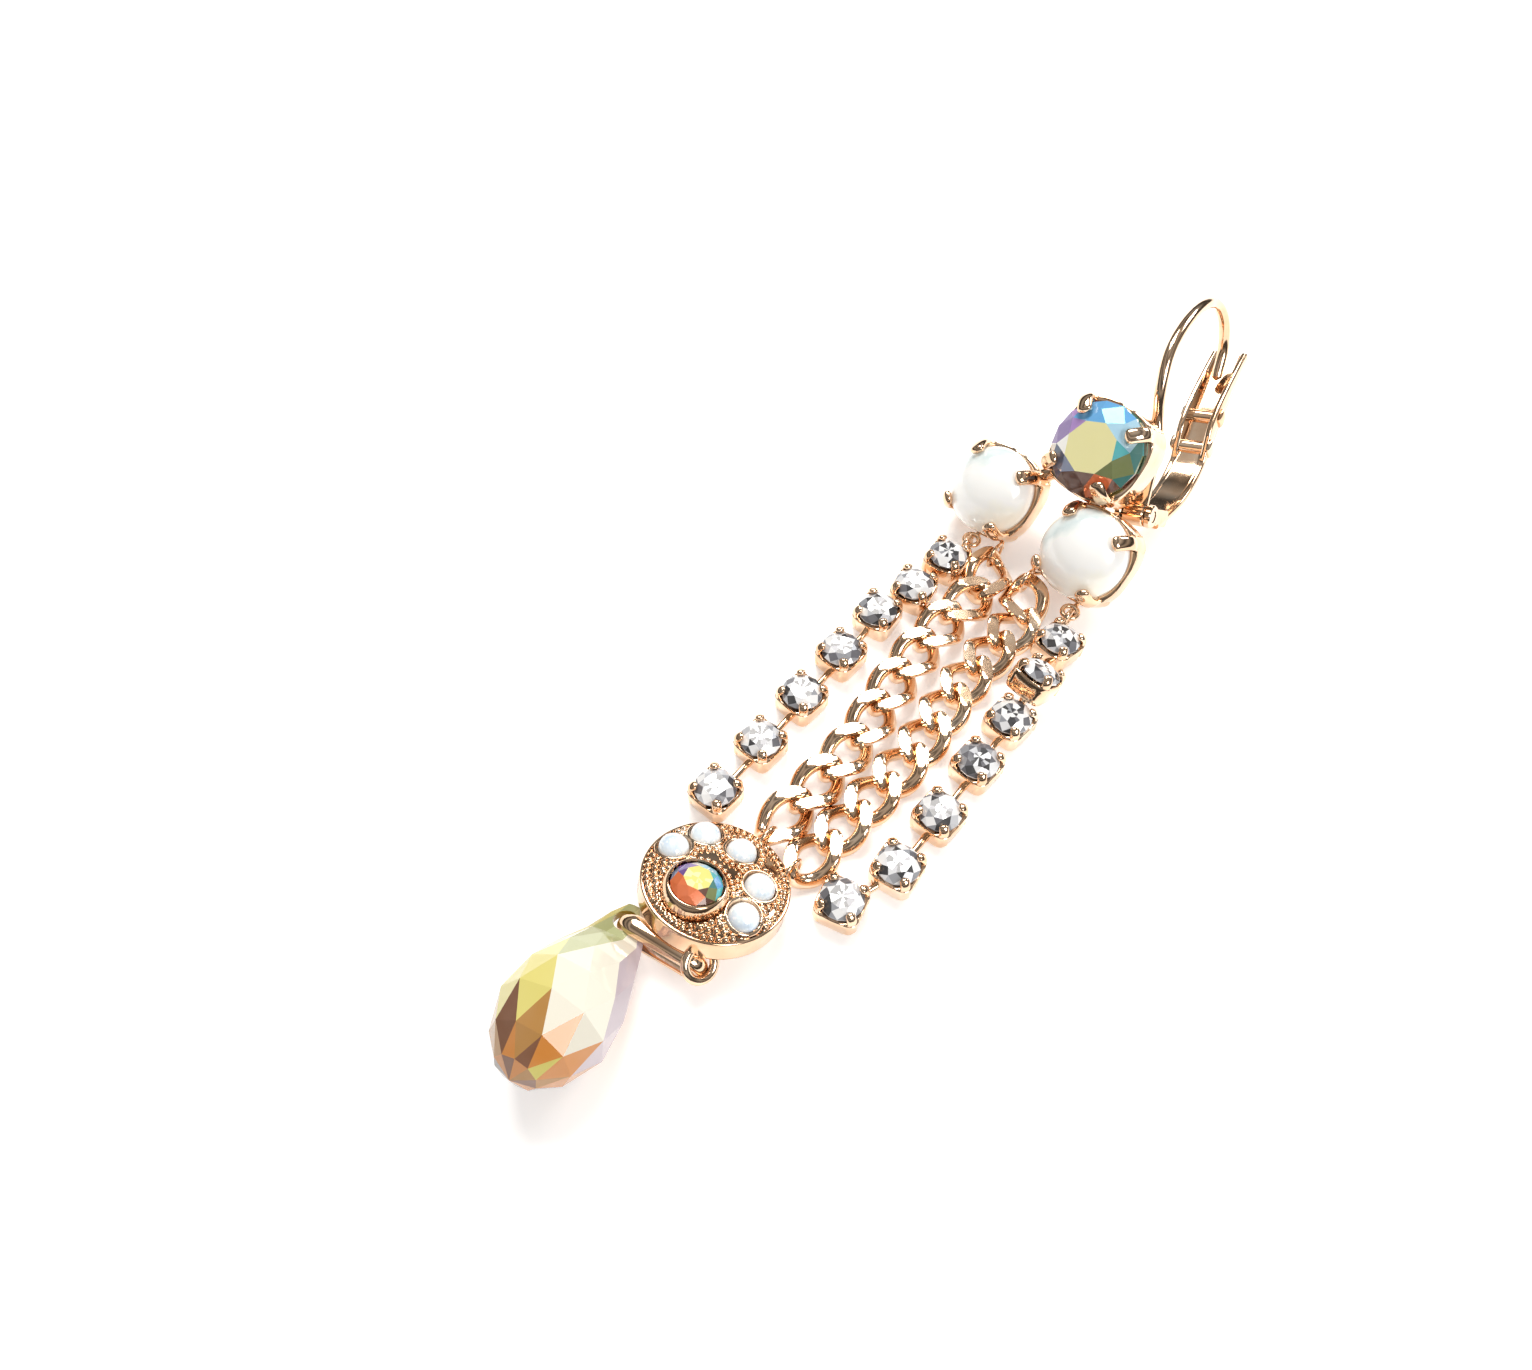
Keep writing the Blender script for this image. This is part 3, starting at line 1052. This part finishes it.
def disc_relief(x, y):
    """The disc's top as a height over x, y, and how deep in the shade each point lies.

    It is a dome with a rolled rim, a bezel round the crystal, a lip round each opal, and rows of
    half-round beads, each the root of its radius squared less the distance squared.
    """
    r = np.hypot(x, y)
    crystal = np.hypot(x, y + CRYSTAL_DROP)
    bore = CRYSTAL_RADIUS + STONE_GAP
    opal = np.stack([np.hypot(x - a, y - b) for a, b in OPAL_PLACES]).min(0)
    ground = dome_height(r) - 0.2
    height = ground.copy()
    rows = [bead_row(4.3, 0, 353), bead_row(2.3, 0, 354, (0, -CRYSTAL_DROP), BEAD_PITCH)]
    rows += [bead_row(*arc) for arc in ((3.82, 186, 262), (3.36, 190, 256), (3.82, 280, 330),
                                        (3.36, 284, 318))]
    rows += [bead_row(OPAL_BORE + 0.4, 0, 340, place, BEAD_PITCH) for place in OPAL_PLACES]
    beads = np.vstack(rows)
    clear = (np.hypot(beads[:, 0], beads[:, 1] + CRYSTAL_DROP) > bore + 0.55) & (
        np.hypot(beads[:, 0], beads[:, 1]) < 4.36)
    for a, b in OPAL_PLACES:
        clear &= np.hypot(beads[:, 0] - a, beads[:, 1] - b) > OPAL_BORE + 0.33
    near = np.full(x.shape, np.inf)
    for a, b in beads[clear]:
        near = np.minimum(near, np.hypot(x - a, y - b))
    height += np.where(near < BEAD, np.sqrt(np.clip(BEAD**2 - near**2, 0, None)) + 0.04, 0)
    lip = np.abs(opal - (OPAL_BORE + 0.1))
    lip_height = ground + 0.1 + np.sqrt(np.clip(LIP**2 - lip**2, 0, None))
    height = np.maximum(height, np.where(lip < LIP, lip_height, 0))
    height = np.where(opal < OPAL_BORE, ground - 0.35, height)
    seat = dome_height(CRYSTAL_DROP) + CRYSTAL_LIFT
    wall = np.clip((bore + BEZEL - crystal) / BEZEL_SLOPE, 0, 1)
    collar = seat - 0.25 + 0.42 * np.sin(np.pi / 2 * wall)
    on_bezel = (crystal >= bore) & (crystal < bore + BEZEL)
    height = np.where(on_bezel, np.maximum(height, collar), height)
    height = np.where(crystal < bore, seat - 0.9, height)
    edge = np.clip((DISC_RADIUS - r) / 0.2, 0, 1)
    rim = dome_height(DISC_RADIUS) - 0.1 * (1 - np.sqrt(np.clip(1 - (1 - edge) ** 2, 0, 1)))
    height = np.where(r > DISC_RADIUS - 0.16, rim, height)
    return height, np.clip((ground + 0.12 - height) / 0.12, 0, 1)


def build_disc(sizes, looks):
    """The pave disc with its rings, the centre crystal and the five opals."""
    around = 380
    angle = np.arange(around) * 2 * math.pi / around
    radii = np.linspace(sizes.disc_radius, 0.06, 118)
    x, y = radii[:, None] * np.cos(angle), radii[:, None] * np.sin(angle)
    relief, shade = disc_relief(x, y)
    top = np.stack([x, y, relief], -1)
    side = np.array([(4.2, 0.0), (4.55, 0.0), (4.66, 0.08), (4.68, 0.2), (4.62, 0.8), (4.68, 1.35)])
    wall = np.stack([side[:, :1] * np.cos(angle), side[:, :1] * np.sin(angle),
                     np.broadcast_to(side[:, 1:], (len(side), around))], -1)
    body = moved(loft(np.vstack([wall, top])), DISC)
    rings = [torus(at, (1, 0, 0), CHAIN_RING, CHAIN_WIRE) for at in DISC_LOOPS]
    rings.append(torus(put((0.35, -20.6, 2.15), MODEL), (1, 0, 1), 1.0, 0.3, 56, 18))
    obj = put_in_scene(plain("disc_setting"), mesh_of(plain("disc_setting"), [body]))
    shade = np.concatenate([np.zeros(len(side) * around), shade.ravel(), [0, 0]])
    keep_values(obj, "crevice", "POINT", shade)
    boolean(obj, rings, "UNION", False)
    shade_smooth(obj, looks["gold"], 50)
    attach(obj, "earring")
    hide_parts("disc_setting")

    crystal = brilliant(CRYSTAL_RADIUS, 0.6, 1.2, 0.064)
    wheel = ["teal", "aqua", "sky", "aqua", "pale_blue", "white", "violet", "lilac", "violet",
             "slate", "rust", "rust", "rust", "rust", "brown", "olive"]
    tones = aurora_tones(crystal, wheel, ["straw", "yellow"], 9)
    seat = dome_height(CRYSTAL_DROP) + CRYSTAL_LIFT
    crystal = moved(crystal, DISC @ shift(0, -CRYSTAL_DROP, seat))
    flat_stone("disc_crystal", crystal, tones, looks["aurora"], slot="ab_crystal")
    for k, (a, b) in enumerate(OPAL_PLACES):
        seat = dome_height(math.hypot(a, b)) + 0.12
        stone = dome(OPAL_RADIUS, 1.0, 0.13, 40, 12)
        make_piece(f"disc_opal_{k + 1}", [moved(stone, DISC @ shift(a, b, seat - 0.65 + STONE_GAP))],
                   looks["opal"], sharp=60)


def build_drop(sizes, looks):
    """The bail on edge and the amber briolette in it."""
    build_bail(looks)
    build_briolette(sizes, looks)


def build_bail(looks):
    """A long ring on edge: half circles of radius BAIL_BEND joined by straight sides. Its section
    is an ellipse, and it is widest across in its middle."""
    tube_radius = BAIL_WIRE / 2
    a = (np.arange(72) * 2 * math.pi / 72 + math.pi / 72)[:, None]
    b = (np.arange(18) * 2 * math.pi / 18)[None]
    reach = BAIL_BEND + tube_radius * np.cos(b)
    x = np.cos(a) * reach
    x = x + np.sign(x) * BAIL_STRAIGHT
    half_thick = 0.55 + 0.45 * np.clip(1.3 - np.abs(x) / 2, 0, 1)
    rows = np.stack([x, half_thick * np.sin(b), np.sin(a) * reach + 1.3], -1)
    bail_frame = MODEL @ shift(*BAIL_PLACE) @ turn("z", BAIL_TURN)
    make_piece("drop_bail", [moved(loft(rows, ring=True), bail_frame)], looks["gold"])


def build_briolette(sizes, looks):
    """A drop of flat lozenges: rings of ten points, every other ring turned by half a step, joined
    by triangles, closed by a point at each end and drilled across near its tip."""
    sections = np.array(BRIOLETTE_SECTIONS)
    sides, count = BRIOLETTE_SIDES, len(sections)
    angle = 2 * math.pi * (np.arange(sides)[None] + (np.arange(count) % 2)[:, None] / 2) / sides
    radius = sections[:, 1:2] * sizes.briolette_diameter / 2
    along = np.broadcast_to(-sections[:, :1] * sizes.briolette_length, angle.shape)
    rows = np.stack([radius * np.cos(angle), along, radius * sections[:, 2:] * np.sin(angle)], -1)
    points = np.vstack([rows.reshape(-1, 3), [[0, 0, 0], [0, -sizes.briolette_length, 0]]])
    i = np.arange(sides)
    down, up = [], []
    for k in range(count - 1):
        step = k % 2
        here, there = k * sides, (k + 1) * sides
        below, before = there + (i + step) % sides, there + (i + step - 1) % sides
        down.append(np.stack([here + i, before, below], -1))
        up.append(np.stack([here + i, below, here + (i + 1) % sides], -1))
    tip, butt = np.full(sides, len(points) - 2), np.full(sides, len(points) - 1)
    last = (count - 1) * sides
    fans = [np.stack([tip, i, (i + 1) % sides], -1),
            np.stack([butt, last + (i + 1) % sides, last + i], -1)]
    # A lozenge is an `up` triangle of one row and the `down` triangle below the same edge.
    lozenge = np.array(BRIOLETTE_FACETS)
    down_tone = [lozenge[k + 1, (i + k % 2 - 1) % sides] for k in range(count - 1)]
    up_tone = [lozenge[k, i] for k in range(count - 1)]
    tones = np.concatenate([*down_tone, *up_tone, lozenge[0, i], lozenge[count, i]])
    part = outward(points, [np.vstack(down + up + fans)])
    rotation = turn("z", BRIOLETTE_TURN) @ turn("x", BRIOLETTE_LEAN)
    hole = put([0, -DRILL_DEPTH, 0], rotation)
    lowest = put(points, rotation)[:, 2].min()
    end = put([-(BAIL_LENGTH - BAIL_WIRE) / 2 + 0.15, 0, 0], turn("z", BAIL_TURN))
    at = BAIL_PLACE + end - hole
    place = MODEL @ shift(at[0], at[1], -lowest) @ rotation
    drill = turned([(DRILL_RADIUS, -3), (DRILL_RADIUS, 3)], 36)
    obj = flat_stone("briolette_drop", moved(part, place), tone(tones, len(AMBER)), looks["amber"],
                     slot="amber_crystal")
    boolean(obj, [moved(drill, place @ shift(0, -DRILL_DEPTH, 0))], "DIFFERENCE", False)
    obj.data.materials.clear()
    obj.data.materials.append(looks["amber"])


# How light the room is at shares of its height, from straight below to straight above
ROOM_BANDS = [(0.0, 0.08), (0.2, 0.05), (0.42, 0.36), (0.60, 0.06), (0.78, 0.5), (0.9, 0.12), (1.0, 0.45)]
LIGHTS = [  # name, place and size in metres, watts, colour
    ("key", (-0.16, 0.14, 0.34), 0.20, 1.3, (1.0, 0.97, 0.93)),
    ("fill", (0.26, -0.06, 0.26), 0.15, 0.6, (1.0, 0.98, 0.96)),
    ("back", (0.06, 0.32, 0.20), 0.12, 0.42, (0.96, 0.98, 1.0)),
]
CAMERA_PLACE, CAMERA_TURN, CAMERA_LENS = (0.0200335, -0.0421191, 0.068), (33.6, 0, 39.7), 27.02
FLOOR_HALF, FLOOR_GAP = 0.5, 0.00002  # metres


def build_floor(colours):
    """A pale flat slab, a metre wide and a millimetre thick."""
    edge = np.linspace(-FLOOR_HALF, FLOOR_HALF, 9)
    x, y = np.meshgrid(edge, edge, indexing="ij")
    top = np.stack([x, y, np.full(x.shape, -FLOOR_GAP)], -1) / MM
    floor = put_in_scene("floor", mesh_of("floor", [sheet(top, top - (0, 0, 1.0))]))
    finish = Finish("pale floor", roughness=0.55, emission_strength=0.33, emission_color=(1, 1, 1, 1))
    base = np.array(colours.floor)
    finish.feed(base_color=finish.ramp(finish.noise(30, 2), [(0.3, base * 0.99), (0.7, base)]))
    floor.data.materials.append(finish.material)


def build_room(scene):
    """The dim room in bands, which the metal mirrors."""
    world = bpy.data.worlds.new("studio")
    world.use_nodes = True
    nodes, links = world.node_tree.nodes, world.node_tree.links
    place = nodes.new("ShaderNodeTexCoord")
    split = nodes.new("ShaderNodeSeparateXYZ")
    ramp = nodes.new("ShaderNodeValToRGB")
    links.new(place.outputs["Generated"], split.inputs[0])
    links.new(split.outputs["Z"], ramp.inputs[0])
    links.new(ramp.outputs[0], nodes["Background"].inputs[0])
    while len(ramp.color_ramp.elements) < len(ROOM_BANDS):
        ramp.color_ramp.elements.new(1.0)
    for element, (at, grey) in zip(ramp.color_ramp.elements, ROOM_BANDS):
        element.position, element.color = at, (grey, grey * 0.98, grey * 0.95, 1)
    nodes["Background"].inputs[1].default_value = 1.0
    scene.world = world


def build_lights(scene):
    """Three square lamps, each turned to the earring."""
    for name, place, size, power, tint in LIGHTS:
        light = bpy.data.lights.new(name, "AREA")
        light.shape, light.size, light.energy, light.color = "SQUARE", size, power, tint
        lamp = bpy.data.objects.new(name, light)
        lamp.location = place
        direction = -lamp.location.normalized()
        lamp.rotation_euler = direction.to_track_quat("-Z", "Y").to_euler()
        scene.collection.objects.link(lamp)


def build_camera(scene):
    """The camera at the photograph's place and angle."""
    camera = bpy.data.cameras.new("camera")
    camera.sensor_width, camera.lens = 36.0, CAMERA_LENS
    camera.clip_start, camera.clip_end = 0.002, 5.0
    eye = bpy.data.objects.new("camera", camera)
    eye.location = CAMERA_PLACE
    eye.rotation_euler = [math.radians(angle) for angle in CAMERA_TURN]
    scene.collection.objects.link(eye)
    scene.camera = eye


def build_stage(colours):
    """The pale floor, the dim room, the soft lights and the camera."""
    scene = bpy.context.scene
    build_floor(colours)
    build_room(scene)
    scene.view_settings.view_transform = "Standard"
    build_lights(scene)
    build_camera(scene)


# ---------------------------------------------------------------- the add-on

LOOKS = {}


def looks_for(colours):
    """The finishes, made once."""
    if not LOOKS:
        LOOKS["gold"] = gold_finish(colours)
        LOOKS["aurora"] = facet_finish("aurora crystal", list(AURORA.values()), metallic=0.15,
                                       roughness=0.03)
        LOOKS["clear"] = facet_finish("clear crystal", CLEAR, metallic=0.1, roughness=0.03, scale=1600)
        LOOKS["amber"] = facet_finish("amber crystal", AMBER, metallic=0.0, roughness=0.03, scale=350,
                                      grain=0.1)
        LOOKS["shell"] = shell_finish(colours)
        LOOKS["opal"] = opal_finish(colours)
    return LOOKS


class EARRING_OT_stage(bpy.types.Operator):
    """Make the floor, lights and camera"""

    bl_idname = "earring.stage"
    bl_label = "Stage"

    def execute(self, context):
        build_stage(context.scene.earring_colours)
        return {"FINISHED"}


class EARRING_OT_cluster(bpy.types.Operator):
    """Build the soldered head with its ear wire"""

    bl_idname = "earring.cluster"
    bl_label = "Head and Ear Wire"

    def execute(self, context):
        scene = context.scene
        build_cluster(sizes_of(scene), looks_for(scene.earring_colours)["gold"])
        return {"FINISHED"}


class EARRING_OT_lever(bpy.types.Operator):
    """Build the lever and finish its rivet"""

    bl_idname = "earring.lever"
    bl_label = "Lever and Rivet"

    def execute(self, context):
        gold = looks_for(context.scene.earring_colours)["gold"]
        build_lever(gold)
        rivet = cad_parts["hinge_rivet"]
        rivet.data.materials.clear()
        rivet.data.materials.append(gold)
        return {"FINISHED"}


class EARRING_OT_head_stones(bpy.types.Operator):
    """Build the crown's crystal and the two domes"""

    bl_idname = "earring.head_stones"
    bl_label = "Head Stones"

    def execute(self, context):
        scene = context.scene
        build_head_stones(sizes_of(scene), looks_for(scene.earring_colours))
        return {"FINISHED"}


class EARRING_OT_strands(bpy.types.Operator):
    """Build the two rhinestone strands"""

    bl_idname = "earring.strands"
    bl_label = "Rhinestone Strands"

    def execute(self, context):
        scene = context.scene
        build_strands(sizes_of(scene), looks_for(scene.earring_colours))
        return {"FINISHED"}


class EARRING_OT_chains(bpy.types.Operator):
    """Build the double curb chain"""

    bl_idname = "earring.chains"
    bl_label = "Curb Chains"

    def execute(self, context):
        scene = context.scene
        build_chains(sizes_of(scene), looks_for(scene.earring_colours)["gold"])
        return {"FINISHED"}


class EARRING_OT_disc(bpy.types.Operator):
    """Build the pave disc with its stones"""

    bl_idname = "earring.disc"
    bl_label = "Pave Disc"

    def execute(self, context):
        scene = context.scene
        build_disc(sizes_of(scene), looks_for(scene.earring_colours))
        return {"FINISHED"}


class EARRING_OT_drop(bpy.types.Operator):
    """Build the bail and the briolette"""

    bl_idname = "earring.drop"
    bl_label = "Bail and Briolette"

    def execute(self, context):
        scene = context.scene
        build_drop(sizes_of(scene), looks_for(scene.earring_colours))
        return {"FINISHED"}


OPERATORS = (EARRING_OT_stage, EARRING_OT_cluster, EARRING_OT_lever, EARRING_OT_head_stones,
             EARRING_OT_strands, EARRING_OT_chains, EARRING_OT_disc, EARRING_OT_drop)


class EARRING_PT_panel(bpy.types.Panel):
    """The earring's sizes, colours and pieces"""

    bl_label = "Chandelier Earring"
    bl_space_type = "VIEW_3D"
    bl_region_type = "UI"
    bl_category = "Earring"

    def draw(self, context):
        scene = context.scene
        for group in (scene.earring_sizes, scene.earring_colours):
            box = self.layout.box()
            for name in group.__annotations__:
                box.prop(group, name)
        for operator in OPERATORS:
            self.layout.operator(operator.bl_idname)


CLASSES = (EarringSizes, EarringColours, *OPERATORS, EARRING_PT_panel)


def register():
    """Adds the classes and the scene's sizes and colours."""
    for cls in CLASSES:
        bpy.utils.register_class(cls)
    bpy.types.Scene.earring_sizes = bpy.props.PointerProperty(type=EarringSizes)
    bpy.types.Scene.earring_colours = bpy.props.PointerProperty(type=EarringColours)


def unregister():
    """Takes them away again."""
    del bpy.types.Scene.earring_colours
    del bpy.types.Scene.earring_sizes
    for cls in reversed(CLASSES):
        bpy.utils.unregister_class(cls)


def main():
    """Builds the stage and every piece."""
    register()
    bpy.ops.earring.stage()
    bpy.ops.earring.cluster()
    bpy.ops.earring.lever()
    bpy.ops.earring.head_stones()
    bpy.ops.earring.strands()
    bpy.ops.earring.chains()
    bpy.ops.earring.disc()
    bpy.ops.earring.drop()


if __name__ == "__main__":
    main()
